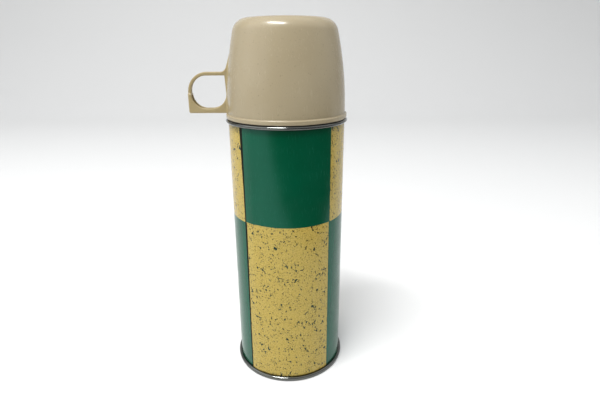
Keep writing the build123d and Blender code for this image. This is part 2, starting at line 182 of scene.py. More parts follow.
def screw_rib(root_r, depth, lead, z, turns, start, root_w, crest_w):
    """A closed thread rib that rises out of its wall and sinks back at both ends.  Its depth is
    negative on the inside of a bore."""
    side = 1 if depth > 0 else -1
    buried = -0.4 * side
    run_out = 0.08              # turns over which each end rises to the full depth
    count = int(turns * 72)
    points, faces = [], []
    for k in range(count + 1):
        t = k / count
        angle = start + 2 * pi * turns * t
        fade = min(1.0, t * turns / run_out, (1 - t) * turns / run_out)
        rise = depth * sin(fade * pi / 2) + 0.02 * side
        mid = z + lead * turns * t
        # from the hidden root up one flank, over the softened crest and down the other flank
        section = [
            (buried, -root_w / 2),
            (0, -root_w / 2),
            (rise * 0.85, -crest_w / 2 - 0.1),
            (rise, -crest_w / 2 + 0.15),
            (rise, crest_w / 2 - 0.15),
            (rise * 0.85, crest_w / 2 + 0.1),
            (0, root_w / 2),
            (buried, root_w / 2),
        ]
        for out, up in section:
            r = root_r + out
            points.append((r * cos(angle), r * sin(angle), mid + up))
    n = len(section)
    for k in range(count):
        for j in range(n):
            a, b = k * n + j, k * n + (j + 1) % n
            faces.append((a, a + n, b + n, b) if side > 0 else (a, b, b + n, a + n))
    first, last = tuple(range(n)), tuple(range(count * n, count * n + n))
    faces += [first, last[::-1]] if side > 0 else [first[::-1], last]
    return points, faces


def surface_net(field, origin, step):
    """Quads round the zero level of a 3-D field, negative inside, with one vertex in each cell."""
    inside = field < 0
    cells = np.array(field.shape) - 1
    total = np.zeros((*cells, 3))
    count = np.zeros(tuple(cells))
    crossings = []
    for axis in range(3):
        low = [slice(None)] * 3
        high = [slice(None)] * 3
        low[axis], high[axis] = slice(0, -1), slice(1, None)
        a, b = field[tuple(low)], field[tuple(high)]
        at = np.argwhere(inside[tuple(low)] != inside[tuple(high)])
        share = a[tuple(at.T)] / (a[tuple(at.T)] - b[tuple(at.T)])
        where = at.astype(float)
        where[:, axis] += share
        others = [i for i in range(3) if i != axis]
        crossings.append((axis, others, at, inside[tuple(low)][tuple(at.T)]))
        for i in (0, 1):
            for j in (0, 1):
                cell = at.copy()
                cell[:, others[0]] -= i
                cell[:, others[1]] -= j
                ok = np.all((cell >= 0) & (cell < cells), axis=1)
                np.add.at(total, tuple(cell[ok].T), where[ok])
                np.add.at(count, tuple(cell[ok].T), 1)
    used = count > 0
    ids = -np.ones(tuple(cells), int)
    ids[used] = np.arange(used.sum())
    points = total[used] / count[used][:, None] * step + origin
    faces = []
    for axis, others, at, starts_inside in crossings:
        corners = []
        for i, j in ((0, 0), (1, 0), (1, 1), (0, 1)):
            cell = at.copy()
            cell[:, others[0]] -= i
            cell[:, others[1]] -= j
            corners.append(cell)
        ok = np.all([np.all((c >= 0) & (c < cells), axis=1) for c in corners], axis=0)
        quads = np.stack([ids[tuple(c[ok].T)] for c in corners], axis=1)
        flip = starts_inside[ok] if axis == 1 else ~starts_inside[ok]
        quads[flip] = quads[flip][:, ::-1]
        faces += [tuple(q) for q in quads.tolist()]
    return points, faces


# ---------------------------------------------------------------- materials
def shade(tree, kind, inputs=None, out=0, **settings):
    """Adds a node; inputs are {name or index: value or socket}.  Returns one of its outputs."""
    made = tree.nodes.new(kind)
    for key, value in settings.items():
        setattr(made, key, value)
    for key, value in (inputs or {}).items():
        if isinstance(value, bpy.types.NodeSocket):
            tree.links.new(value, made.inputs[key])
        else:
            made.inputs[key].default_value = value
    return made.outputs[out]


def maths(tree, operation, a, b, clamp=False):
    """Arithmetic on two numbers or sockets."""
    return shade(tree, "ShaderNodeMath", {0: a, 1: b}, operation=operation, use_clamp=clamp)


def mix(tree, factor, a, b):
    """A colour mix; a and b are colours or sockets."""
    return shade(tree, "ShaderNodeMix", {0: factor, 6: a, 7: b}, out=2, data_type="RGBA")


def noise(tree, where, scale, detail=2.0, rough=0.5, distortion=0.0):
    """Cloudy noise between 0 and 1; the scale is in lumps per metre."""
    inputs = {"Vector": where, "Scale": scale, "Detail": detail, "Roughness": rough}
    inputs["Distortion"] = distortion
    return shade(tree, "ShaderNodeTexNoise", inputs)


def fit(tree, value, low, high, to_low=0.0, to_high=1.0):
    """Maps value from low..high to to_low..to_high, clamped."""
    inputs = {0: value, 1: low, 2: high, 3: to_low, 4: to_high}
    return shade(tree, "ShaderNodeMapRange", inputs)


def start_material(name):
    """A material with an empty tree; returns it, its tree and its main shader."""
    mat = bpy.data.materials.new(name)
    mat.use_nodes = True
    tree = mat.node_tree
    return mat, tree, tree.nodes["Principled BSDF"]


def here(tree):
    """A point of the piece, in metres, in its own frame."""
    return shade(tree, "ShaderNodeTexCoord", out=3)


def stretched(tree, where, x, y, z):
    """A point with each direction scaled by its own factor."""
    return shade(tree, "ShaderNodeMapping", {"Vector": where, "Scale": (x, y, z)})


def bumped(tree, main, height, distance):
    """Bump of a real depth, in metres, on the main shader."""
    inputs = {"Height": height, "Distance": distance}
    tree.links.new(shade(tree, "ShaderNodeBump", inputs), main.inputs["Normal"])


def link(tree, socket, main, name):
    """Joins a socket to one of the main shader's inputs."""
    tree.links.new(socket, main.inputs[name])


def moulded(name, light, dark, gloss=(0.17, 0.27)):
    """Old glossy moulded plastic: cloudy colour, hazed patches and fine hairline scratches."""
    mat, tree, main = start_material(name)
    at = here(tree)
    cloud = noise(tree, at, 28.0, 3.0)
    colour = mix(tree, fit(tree, cloud, 0.35, 0.65), (*light, 1), (*dark, 1))
    specks = noise(tree, at, 900.0, 2.0)
    colour = mix(tree, fit(tree, specks, 0.66, 0.74, 0, 0.35), colour, (0.12, 0.085, 0.05, 1))
    link(tree, colour, main, "Base Color")
    haze = noise(tree, at, 60.0, 4.0, 0.6)
    hairs = noise(tree, stretched(tree, at, 2600.0, 2600.0, 90.0), 1.0, 2.0)
    thin = fit(tree, hairs, 0.60, 0.68, 0, 0.5)
    rough = maths(tree, "ADD", fit(tree, haze, 0.3, 0.7, *gloss), maths(tree, "MULTIPLY", thin, 0.12))
    link(tree, rough, main, "Roughness")
    ripple = noise(tree, at, 45.0, 1.0)
    height = maths(tree, "SUBTRACT", ripple, maths(tree, "MULTIPLY", thin, 0.06))
    bumped(tree, main, height, 0.00012)
    main.inputs["IOR"].default_value = 1.5
    main.inputs["Subsurface Weight"].default_value = 0.08
    main.inputs["Subsurface Radius"].default_value = (1.0, 0.7, 0.4)
    main.inputs["Subsurface Scale"].default_value = 0.0015
    return mat


# the default colour is far darker than tin's own, which the base panel keeps nearer: a painted dark
# reflection, standing for the dim room the rims mirror
def bright_tin(name, base=(0.135, 0.14, 0.132), gloss=(0.03, 0.11)):
    """Bright tinned steel with rolling lines round it, dull patches and brown freckles."""
    mat, tree, main = start_material(name)
    at = here(tree)
    main.inputs["Metallic"].default_value = 1.0
    dull = noise(tree, at, 110.0, 4.0, 0.6)
    freckles = noise(tree, at, 700.0, 3.0, 0.6)
    spots = fit(tree, freckles, 0.64, 0.72, 0, 0.5)
    colour = mix(tree, spots, (*base, 1), (0.16, 0.10, 0.06, 1))
    link(tree, colour, main, "Base Color")
    rough = maths(tree, "ADD", fit(tree, dull, 0.35, 0.7, *gloss), maths(tree, "MULTIPLY", spots, 0.4))
    link(tree, rough, main, "Roughness")
    lines = noise(tree, stretched(tree, at, 60.0, 60.0, 4000.0), 1.0, 2.0)
    bumped(tree, main, lines, 0.00002)
    return mat


def rubber(name, colour):
    """Matt rubber with a pale bloom."""
    mat, tree, main = start_material(name)
    at = here(tree)
    bloom = noise(tree, at, 300.0, 4.0, 0.6)
    pale = tuple(c * 1.6 + 0.02 for c in colour)
    link(tree, mix(tree, fit(tree, bloom, 0.4, 0.7), (*colour, 1), (*pale, 1)), main, "Base Color")
    link(tree, fit(tree, bloom, 0.3, 0.7, 0.55, 0.8), main, "Roughness")
    bumped(tree, main, noise(tree, at, 2500.0, 2.0), 0.00004)
    return mat


def silvered_glass(name):
    """Silvered glass seen through its outer face: a mirror with a little tarnish."""
    mat, tree, main = start_material(name)
    at = here(tree)
    tarnish = noise(tree, at, 70.0, 5.0, 0.6)
    colour = mix(tree, fit(tree, tarnish, 0.45, 0.75), (0.86, 0.87, 0.88, 1), (0.55, 0.50, 0.42, 1))
    link(tree, colour, main, "Base Color")
    link(tree, fit(tree, tarnish, 0.4, 0.8, 0.03, 0.15), main, "Roughness")
    main.inputs["Metallic"].default_value = 1.0
    main.inputs["Coat Weight"].default_value = 1.0
    return mat


def fibrous(name, light, dark, scale):
    """Pressed fibre or foam: mottled, matt and slightly rough."""
    mat, tree, main = start_material(name)
    at = here(tree)
    grain = noise(tree, at, scale, 5.0, 0.7)
    link(tree, mix(tree, fit(tree, grain, 0.35, 0.65), (*light, 1), (*dark, 1)), main, "Base Color")
    link(tree, fit(tree, grain, 0.3, 0.7, 0.8, 0.95), main, "Roughness")
    bumped(tree, main, grain, 0.0003)
    return mat


SHEET_UV = "printed_sheet"
PANEL_ARC = 90.7 / 360      # the front panel's share of the way round; the others share the rest
PRINT_SPLIT = 126.35        # height of the line between the two rows of panels
PRINT_RISE = 0.6            # how far that line climbs over the last stretch towards the seam
ROW_SHIFT = 0.9             # the lower row is printed this much further to the left
TAN_LIGHT = (0.54, 0.362, 0.084, 1)
TAN_DARK = (0.325, 0.248, 0.038, 1)
TAN_PATCH = (0.455, 0.333, 0.076, 1)
GREEN_LIGHT = (0.0, 0.068, 0.030, 1)
GREEN_DARK = (0.0, 0.060, 0.025, 1)
SPECK_INK = (0.003, 0.012, 0.004, 1)
# dark colour for the lines along the sheet's ends and for the painted shade under the ring
DARK_ENDS_AND_SHADE = (0.006, 0.009, 0.004, 1)
SPECKS = ((330.0, 0.648, 1.0), (620.0, 0.638, 1.0), (1100.0, 0.632, 0.8))  # scale, level, darkness


def litho_tin(name):
    """Printed tinplate under clear lacquer: green panels and speckled tan ones, in two rows.
    The map runs round the sheet from the seam in U and up it in V, both in metres."""
    mat, tree, main = start_material(name)
    sheet = shade(tree, "ShaderNodeUVMap", uv_map=SHEET_UV)
    parts = tree.nodes.new("ShaderNodeSeparateXYZ")
    tree.links.new(sheet, parts.inputs[0])
    along, up = parts.outputs[0], parts.outputs[1]
    round_m = 2 * pi * CASE_R * MM
    split = fit(tree, along, 0.0, 0.035, (PRINT_SPLIT + PRINT_RISE) * MM, PRINT_SPLIT * MM)
    high = maths(tree, "GREATER_THAN", up, split)
    # panels, going round from the seam: front, right, back and left
    shift = maths(tree, "MULTIPLY", maths(tree, "SUBTRACT", 1.0, high), ROW_SHIFT * MM)
    place = maths(tree, "ADD", along, shift)
    rest = (1 - PANEL_ARC) / 3
    front = maths(tree, "LESS_THAN", place, PANEL_ARC * round_m)
    right = maths(tree, "LESS_THAN", place, (PANEL_ARC + rest) * round_m)
    back = maths(tree, "LESS_THAN", place, (PANEL_ARC + 2 * rest) * round_m)
    even = maths(tree, "ADD", front, maths(tree, "SUBTRACT", back, right))
    same = shade(tree, "ShaderNodeMath", {0: even, 1: high, 2: 0.5}, operation="COMPARE")

    # tan ground: a fine printed grain, with broader patches that are more and less yellow
    fine = noise(tree, sheet, 1300.0, 2.0, 0.7)
    broad = noise(tree, sheet, 130.0, 3.0)
    tan = mix(tree, fit(tree, fine, 0.38, 0.62), TAN_LIGHT, TAN_DARK)
    tan = mix(tree, fit(tree, broad, 0.3, 0.7, 0, 0.4), tan, TAN_PATCH)
    # specks: blots of ink with ragged edges, thicker in some places than in others
    clump = noise(tree, sheet, 110.0, 3.0, 0.6)
    crowd = fit(tree, clump, 0.35, 0.65, 0.03, -0.03)
    specks = None
    for scale, level, darkness in SPECKS:
        # each size of blot has the sheet turned and moved its own way
        turned = {"Vector": sheet, "Scale": (1.0, 0.85, 1.0)}
        turned["Location"] = (scale / 900, scale / 700, 0)
        turned["Rotation"] = (0, 0, scale / 400)
        blot = noise(tree, shade(tree, "ShaderNodeMapping", turned), scale, 2.0, 0.55, 0.6)
        edge_at = maths(tree, "ADD", crowd, level)
        ink = maths(tree, "MULTIPLY", maths(tree, "SUBTRACT", blot, edge_at), 85.0, clamp=True)
        ink = maths(tree, "MULTIPLY", ink, darkness)
        specks = ink if specks is None else maths(tree, "MAXIMUM", specks, ink)
    tan = mix(tree, specks, tan, SPECK_INK)

    shade_of = noise(tree, sheet, 30.0, 3.0)
    green = mix(tree, fit(tree, shade_of, 0.35, 0.65), GREEN_LIGHT, GREEN_DARK)
    colour = mix(tree, same, tan, green)
    # darker lines along both ends, where the sheet meets the rims, and a wider, fainter band of painted
    # shade under the ring, where the ring's shadow falls
    top = CASE_H - RING_H
    foot = fit(tree, up, (BASE_H + 0.1) * MM, (BASE_H + 1.1) * MM, 0.85, 0.0)
    head = fit(tree, up, (top - 1.3) * MM, (top - 0.1) * MM, 0.0, 0.75)
    # painted shade: darkens towards the ring, standing for the ring's shadow on the sheet
    ring_shade_band = fit(tree, up, (top - 5.0) * MM, (top - 0.6) * MM, 0.0, 0.38)
    dark_ends_and_shade = maths(tree, "MAXIMUM", foot, maths(tree, "MAXIMUM", head, ring_shade_band))
    colour = mix(tree, dark_ends_and_shade, colour, DARK_ENDS_AND_SHADE)
    link(tree, colour, main, "Base Color")

    haze = noise(tree, sheet, 90.0, 4.0, 0.6)
    hairs = noise(tree, stretched(tree, sheet, 4000.0, 120.0, 1.0), 1.0, 2.0)
    thin = fit(tree, hairs, 0.62, 0.70, 0, 0.10)
    link(tree, maths(tree, "ADD", fit(tree, haze, 0.3, 0.7, 0.17, 0.26), thin), main, "Roughness")
    waves = noise(tree, stretched(tree, sheet, 40.0, 14.0, 1.0), 1.0, 2.0)
    bumped(tree, main, waves, 0.00025)
    main.inputs["Specular IOR Level"].default_value = 0.36
    main.inputs["Specular Tint"].default_value = (0.5, 1.0, 0.98, 1)
    return mat


def seam_shadow(name):
    """Painted shade for the lap seam: dull near-black on the sheet's raw edge and the gap behind it,
    standing for the seam's shadow line.
    """
    mat, tree, main = start_material(name)
    mottle = noise(tree, here(tree), 400.0, 3.0, 0.6)
    colour = mix(tree, fit(tree, mottle, 0.35, 0.7), (0.003, 0.004, 0.002, 1), (0.012, 0.014, 0.008, 1))
    link(tree, colour, main, "Base Color")
    link(tree, fit(tree, mottle, 0.3, 0.7, 0.75, 0.95), main, "Roughness")
    main.inputs["Specular IOR Level"].default_value = 0.1
    return mat


mats = {
    "cup": moulded("cup_plastic", (0.330, 0.276, 0.177), (0.311, 0.257, 0.161)),
    # the handle is the cup's own plastic; this copy is painted more saturated and a little darker, as
    # painted shade on its front faces and painted light showing through its thin plastic
    "handle": moulded("handle_plastic_shaded", (0.355, 0.284, 0.147), (0.322, 0.253, 0.126), (0.25, 0.4)),
    "collar": moulded("collar_plastic", (0.50, 0.43, 0.30), (0.46, 0.39, 0.27)),
    "stopper": moulded("stopper_plastic", (0.66, 0.60, 0.46), (0.60, 0.54, 0.40), (0.3, 0.42)),
    "jacket": litho_tin("litho_tinplate"),
    "seam": seam_shadow("seam_shadow"),
    "ring": bright_tin("bright_tin"),
    "panel": bright_tin("tin_panel", (0.36, 0.36, 0.35), (0.26, 0.42)),
    "grey_rubber": rubber("grey_rubber", (0.09, 0.085, 0.078)),
    "black_rubber": rubber("black_rubber", (0.012, 0.012, 0.012)),
    "glass": silvered_glass("silvered_glass"),
    "pad": fibrous("spacer_fibre", (0.55, 0.52, 0.44), (0.38, 0.35, 0.28), 900.0),
    "foam": fibrous("stopper_foam", (0.72, 0.66, 0.48), (0.55, 0.48, 0.32), 1400.0),
}


# ---------------------------------------------------------------- case
LAP_STEP = 0.4              # how far the sheet's free edge stands proud
LAP_FLAT, LAP_END = 6.0, 12.0   # from the seam to where it starts to sink, and to where it is flush
LIP_COLUMN = 3              # the column of the jacket's mesh where the lap's dark edge ends
# (height, width) of the lap's edge and of the gap behind it, both painted dark as the seam's shadow line
LIP_WIDTHS = ((30, 0.4), (120, 0.95), (126, 0.95), (127, 0.4))
GAP_WIDTHS = ((130, 1.3), (150, 1.5), (190, 2.8))


def lap_rise(turn):
    """How far the wrapped sheet stands proud at an angle round from its seam."""
    t = min(1.0, max(0.0, (turn * CASE_R - LAP_FLAT) / (LAP_END - LAP_FLAT)))
    return LAP_STEP * (1 - t * t * (3 - 2 * t))


def seam_width(z, widths):
    """Width of the dark edge or gap at a height."""
    return float(np.interp(z, *zip(*widths)))


def make_jacket():
    """The printed sheet, with its lap seam, as a closed thin shell mapped as it was printed."""
    # columns, as angles round from the seam: close together beside it and even elsewhere
    beside = [0.0, 0.0006, 0.0025, 0.006, 0.026]
    evenly = np.linspace(0.04, 2 * pi - 0.085, 300).tolist()
    turns = beside + evenly + [2 * pi - 0.05, 2 * pi - 0.001]
    # rings, from inside one rolled end to inside the other
    low, high = 1.25, CASE_H - 1.05
    rings = [low, low + 0.3, BASE_H, 30, 60, 90, 120, 126, 127, 150, 180]
    rings += [CASE_H - RING_H, high - 0.3, high]
    # the lap stays proud to a little way inside both rolled ends
    lap_low, lap_high = BASE_H - 0.7, CASE_H - RING_H + 0.7
    rings += [lap_low - 0.1, lap_low, lap_low + 0.1, lap_high - 0.1, lap_high, lap_high + 0.1]
    rings = sorted(set(rings))
    points, uvs, faces = [], [], []
    for inner in (False, True):
        for z in rings:
            # the lap's edge and the gap behind it, painted dark as the seam's shadow line; the gap is
            # widest near the top
            turns[LIP_COLUMN] = seam_width(z, LIP_WIDTHS) / CASE_R
            turns[-2] = 2 * pi - seam_width(z, GAP_WIDTHS) / CASE_R
            for turn in turns:
                angle = SEAM_ANGLE + turn
                proud = lap_rise(turn) if lap_low <= z <= lap_high else 0
                if turn == 0.0:
                    proud *= 0.55   # softens the sheet's raw edge
                r = CASE_R - TIN if inner else CASE_R + proud
                points.append((r * cos(angle), r * sin(angle), z))
                uvs.append((turn * CASE_R * MM, z * MM))
    n, m = len(turns), len(rings)
    for side in (0, 1):
        base = side * n * m
        for j in range(m - 1):
            for k in range(n):
                a, b = base + j * n + k, base + j * n + (k + 1) % n
                quad = (a, b, b + n, a + n)
                faces.append(quad if side == 0 else quad[::-1])
    for j in (0, m - 1):
        for k in range(n):
            a, b = j * n + k, j * n + (k + 1) % n
            quad = (a, a + n * m, b + n * m, b)
            faces.append(quad if j == 0 else quad[::-1])
    mesh = (points, faces)
    piece = new_piece("printed_jacket", *mesh, "flask", ["jacket"], "litho_tinplate", mats["jacket"])
    # the lap's raw edge and the gap behind it get the seam's painted shade
    piece.data.materials.append(mats["seam"])
    lip_columns, gap_columns = set(range(LIP_COLUMN + 1)), {n - 2, n - 1, 0}
    for poly in piece.data.polygons:
        columns = {i % n for i in poly.vertices}
        if poly.vertices[0] < n * m and (columns <= lip_columns or columns <= gap_columns):
            poly.material_index = 1
    # the last faces before the seam run on past the full way round
    layer = piece.data.uv_layers.new(name=SHEET_UV)
    full = 2 * pi * CASE_R * MM
    for poly in piece.data.polygons:
        us = [uvs[piece.data.loops[i].vertex_index][0] for i in poly.loop_indices]
        wraps = max(us) - min(us) > full / 2
        for i, u in zip(poly.loop_indices, us):
            v = uvs[piece.data.loops[i].vertex_index][1]
            layer.data[i].uv = (u + full if wraps and u < full / 2 else u, v)


def make_top_ring():
    """The rolled ring at the case's top, with the threaded neck that holds the collar."""
    neck = edge("top_ring", 0, "z")
    web = CASE_H - 1.0          # underside of the ring's top, which rests on the sheet's edge
    bead = 1.15
    outline = rounded(
        [
            (RING_BORE, neck, 0.3),
            (RING_NECK, neck, 0.3),
            (RING_NECK, web, 0),
            (SEAT_R, web, 0),
            (SEAT_R, CASE_H - RING_H, 0.2),
            (RING_R, CASE_H - RING_H, bead),
            (RING_R, CASE_H, bead),
            (RING_BORE, CASE_H, 0.3),
        ],
        steps=8,
    )
    rib = screw_rib(RING_BORE, -0.9, COLLAR_LEAD, 185.0, 1.2, 0, *COLLAR_RIB)
    mesh = join(lathe(outline), rib)
    new_piece("rolled_top_ring", *mesh, "flask", ["top_ring"], "bright_tin", mats["ring"])


def make_base():
    """The pressed tin end: a recessed panel with a raised middle and a small bead round it, and
    a rim rolled over the sheet."""
    chuck = CASE_R - TIN - 0.05     # wall of the recess
    panel, middle, tin = 3.8, 4.8, 0.6
    middle_r, bead_r = 23.4, 31.6
    fold = 1.2                      # floor of the fold that takes the sheet's edge
    outline = rounded(
        [
            (0, middle, 0),
            (middle_r, middle, 1.5),
            (middle_r + 2.0, panel, 1.5),
            (bead_r - 1.0, panel, 1.0),
            (bead_r, panel + 0.4, 1.0),
            (bead_r + 1.0, panel, 1.0),
            (chuck - tin, panel, 0.5),
            (chuck - tin, 0, 0.5),
            (BASE_R, 0, 1.1),
            (BASE_R, BASE_H, 1.3),
            (SEAT_R, BASE_H, 0.2),
            (SEAT_R, fold, 0),
            (chuck, fold, 0),
            (chuck, panel + tin, 0.4),
            (middle_r + 2.3, panel + tin, 0.8),
            (middle_r + 0.3, middle + tin, 0.8),
            (0, middle + tin, 0),
        ]
    )
    mesh = lathe(outline)
    piece = new_piece("pressed_base", *mesh, "flask", ["base_plate"], "bright_tin", mats["ring"])
    # the recessed panel inside the rim is duller, and paler since it keeps nearer tin's own colour than
    # the rims' painted dark reflection
    piece.data.materials.append(mats["panel"])
    for poly in piece.data.polygons:
        if hypot(poly.center.x, poly.center.y) < (chuck - 0.2) * MM:
            poly.material_index = 1


# ---------------------------------------------------------------- collar and stopper
def make_collar():
    """The collar: a threaded skirt and flange, a shoulder, and a neck with the stopper's bore."""
    skirt_in = COLLAR_R - 2.4
    shoulder_low, shoulder_high = 212.0, 218.0
    neck_out = BORE_R + 3.4
    throat = 15.5               # hole in the web that the stopper's gasket sits on
    liner_in, liner_out, liner_low = BORE_R + 0.5, neck_out - 0.6, 198.5
    outline = rounded(
        [
            (skirt_in, SKIRT_LOW, 0.4),
            (COLLAR_R, SKIRT_LOW, 0.4),
            (COLLAR_R, CASE_H, 0.1),
            (FLANGE_R, CASE_H, 0.1),
            (FLANGE_R, CASE_H + FLANGE_H, 0.5),
            (COLLAR_R, CASE_H + FLANGE_H, 0.3),
            (COLLAR_R, shoulder_low, 3.0),
            (neck_out, shoulder_high, 2.0),
            (neck_out, COLLAR_TOP - 2.4, 0.6),
            (neck_out + 1.2, COLLAR_TOP, 0.8),
            (BORE_R, COLLAR_TOP, 0.6),
            (BORE_R, WEB_Z, 0.3),
            (throat, WEB_Z, 0.4),
            (throat, WEB_Z - 2.0, 0.4),
            (liner_in, WEB_Z - 2.0, 0),
            (liner_in, liner_low, 0.4),
            (liner_out, liner_low, 0.4),
            (liner_out, shoulder_high - 3.4, 0.8),
            (skirt_in, shoulder_low - 2.1, 2.0),
        ]
    )
    ribs = [
        screw_rib(COLLAR_R, 1.0, COLLAR_LEAD, 187.2, 1.0, 0, *COLLAR_RIB),
        screw_rib(COLLAR_R, CUP_RIB_DEPTH, CUP_LEAD, 200.0, 0.75, 0, *CUP_RIB),
        screw_rib(COLLAR_R, CUP_RIB_DEPTH, CUP_LEAD, 200.0, 0.75, pi, *CUP_RIB),
        screw_rib(BORE_R, -1.1, STOPPER_LEAD, 214.6, 2.5, 0, *STOPPER_RIB),
    ]
    mesh = join(lathe(outline), *ribs)
    new_piece("screw_collar", *mesh, "flask", ["collar"], "collar_plastic", mats["collar"])


def make_stopper_plug():
    """The stopper's hollow plug, with its threaded core above the shoulder."""
    plug, core, shoulder, ledge = 13.2, 19.4, 212.6, 215.0
    wall = 2.0
    outline = rounded(
        [
            (0, STOPPER_LOW, 0),
            (plug, STOPPER_LOW, 3.0),
            (plug, shoulder, 0.3),
            (core, shoulder, 0.6),
            (core, CAP_LOW, 0.3),
            (STOPPER_CAVITY, CAP_LOW, 0.3),
            (STOPPER_CAVITY, ledge, 0.5),
            (plug - wall, ledge, 0.5),
            (plug - wall, STOPPER_LOW + wall, 1.0),
            (0, STOPPER_LOW + wall, 0),
        ]
    )
    rib = screw_rib(core, 1.2, STOPPER_LEAD, 216.6, 2.25, 0, *STOPPER_RIB)
    mesh = join(lathe(outline, 144), rib)
    new_piece("stopper_plug", *mesh, "stopper", ["stopper_body"], "stopper_plastic", mats["stopper"])


def ramp(value, length):
    """Rises from 0 to 1 as the value goes from 0 to that length."""
    return min(1.0, max(0.0, value / length))


def make_stopper_cap():
    """The stopper's grip: a dished cap with shallow round flutes, and a spigot in the cavity."""
    cap_r, dish, spigot_low = 22.5, 1.2, 225.0
    spigot_r = STOPPER_CAVITY - 0.1
    outline = rounded(
        [
            (0, spigot_low, 0),
            (spigot_r, spigot_low, 0.3),
            (spigot_r, CAP_LOW, 0.1),
            (cap_r, CAP_LOW, 0.5),
            (cap_r - 0.8, STOPPER_TOP, 1.6),
            (cap_r - 4.0, STOPPER_TOP, 0.8),
            (cap_r - 4.6, STOPPER_TOP - dish, 0.6),
            (0, STOPPER_TOP - dish, 0),
        ]
    )
    flutes, flute_depth = 24, 0.75
    points, faces = lathe(outline, flutes * 16)
    shaped = []
    for x, y, z in points:
        r, angle = hypot(x, y), atan2(y, x)
        # the flutes are cut in the side only, and run out below the top edge
        side = ramp(r - cap_r + 2.6, 1.4)
        ends = ramp(z - CAP_LOW, 0.8) * ramp(STOPPER_TOP - 1.6 - z, 0.8)
        cut = flute_depth * side * ends * max(0.0, cos(angle * flutes)) ** 1.5
        shaped.append(((r - cut) * cos(angle), (r - cut) * sin(angle), z))
    mesh = (shaped, faces)
    new_piece("fluted_cap", *mesh, "stopper", ["stopper_cap"], "stopper_plastic", mats["stopper"])


# ---------------------------------------------------------------- cup
SIDE_X = CUP_R - SIDE_R         # centre of the side's arc
SIDE_Z = CUP_FOOT + LIP_H
CROWN_Z = CUP_TOP - CROWN_R     # centre of the crown's arc


def cup_outline(inset, foot):
    """Open outline of the cup's outside from its foot to the axis, or of its inside when inset."""
    side_r, crown_r, shoulder = SIDE_R - inset, CROWN_R - inset, SHOULDER_R - inset
    # the shoulder's centre keeps its radius from both the side arc and the crown arc
    a, b = side_r - shoulder, crown_r - shoulder
    span = hypot(SIDE_X, SIDE_Z - CROWN_Z)
    along = (a * a - b * b + span * span) / (2 * span)
    across = sqrt(a * a - along * along)
    ux, uz = -SIDE_X / span, (CROWN_Z - SIDE_Z) / span
    cx, cz = SIDE_X + along * ux - across * uz, SIDE_Z + along * uz + across * ux
    low = atan2(cz - SIDE_Z, cx - SIDE_X)
    high = atan2(cz - CROWN_Z, cx)
    out = [(CUP_R - inset, foot)] if foot < SIDE_Z else []
    out += arc(SIDE_X, SIDE_Z, side_r, 0, low, 40)
    out += arc(cx, cz, shoulder, low, high, 16)[1:]
    out += arc(0, CROWN_Z, crown_r, high, pi / 2, 16)[1:-1]
    return out + [(0, CROWN_Z + crown_r)]


def make_cup():
    """The cup's shell: lip band, gently arched side, rounded shoulder and slightly crowned top."""
    lip = rounded(
        [
            (CUP_R - CUP_WALL, CUP_FOOT, 0.5),
            (LIP_R, CUP_FOOT, 0.6),
            (LIP_R, SIDE_Z, 0.9),
            (CUP_R, SIDE_Z + 0.1, 0.25),
            (CUP_R, SIDE_Z + 4.0, 0),
        ]
    )[:-1]
    outside = [p for p in cup_outline(0.0, SIDE_Z) if p[1] > SIDE_Z + 1.0]
    inside = cup_outline(CUP_WALL, CUP_FOOT + 2.0)
    shell = lathe(lip + outside + inside[::-1], 256)
    ribs = [
        screw_rib(CUP_R - CUP_WALL, -CUP_RIB_DEPTH, CUP_LEAD, 203.0, 0.45, start, *CUP_RIB)
        for start in (0, pi)
    ]
    new_piece("drinking_cup", *join(shell, *ribs), "cup", ["cup"], "cup_plastic", mats["cup"])


def box_2d(u, z, low_u, high_u, low_z, high_z, corner_radii):
    """Signed distance to a box whose corners (outer top, outer bottom, inner top, inner bottom)
    each have their own radius; outer is away from the cup."""
    du, dz = u - (low_u + high_u) / 2, z - (low_z + high_z) / 2
    radius = np.where(
        du > 0,
        np.where(dz > 0, corner_radii[0], corner_radii[1]),
        np.where(dz > 0, corner_radii[2], corner_radii[3]),
    )
    qu = np.abs(du) - (high_u - low_u) / 2 + radius
    qz = np.abs(dz) - (high_z - low_z) / 2 + radius
    return np.minimum(np.maximum(qu, qz), 0) + np.hypot(np.maximum(qu, 0), np.maximum(qz, 0)) - radius


def slab(flat, y, half, round_r):
    """A flat shape given a thickness along Y, with rounded edges."""
    a, b = flat + round_r, np.abs(y) - half + round_r
    return np.minimum(np.maximum(a, b), 0) + np.hypot(np.maximum(a, 0), np.maximum(b, 0)) - round_r


def blend_min(a, b, radius):
    """Union of two fields with a fillet of that radius."""
    h = np.maximum(radius - np.abs(a - b), 0) / radius
    return np.minimum(a, b) - h * h * radius * 0.25


def blend_max(a, b, radius):
    """Intersection of two fields with a fillet of that radius."""
    return -blend_min(-a, -b, radius)


# the handle's loop: distances are out from the axis, along -X
WITHIN, BELOW, ABOVE = 20.0, 190.0, 240.0   # ends of boxes that are hidden in the cup or cut away
STRAP_IN = LOOP_OUT - 2.25
STRAP_W = 4.0
STRAP_UNDER = 223.25
LOOP_TOP = 225.7
LOOP_STEP = 211.4               # height where the strap meets the webs
LOOP_LOW = SIDE_Z - 0.35
RIB_LOW, RIB_TOP = 41.5, 42.2   # edge of the rib down the cup's side, at its two ends
WEB_IN = 65.4
WEB_FLOOR = 201.25
WEBS_W = 7.0
CHANNEL_W = 4.0
CHANNEL_WALL = 1.6              # the channel's outer wall and floor
GUSSET_OUT = 44.9               # where the strap's top turns up into a slim gusset
GUSSET_R = 4.2
GUSSET_H = 11.2
GUSSET_LEAN = radians(20.0)


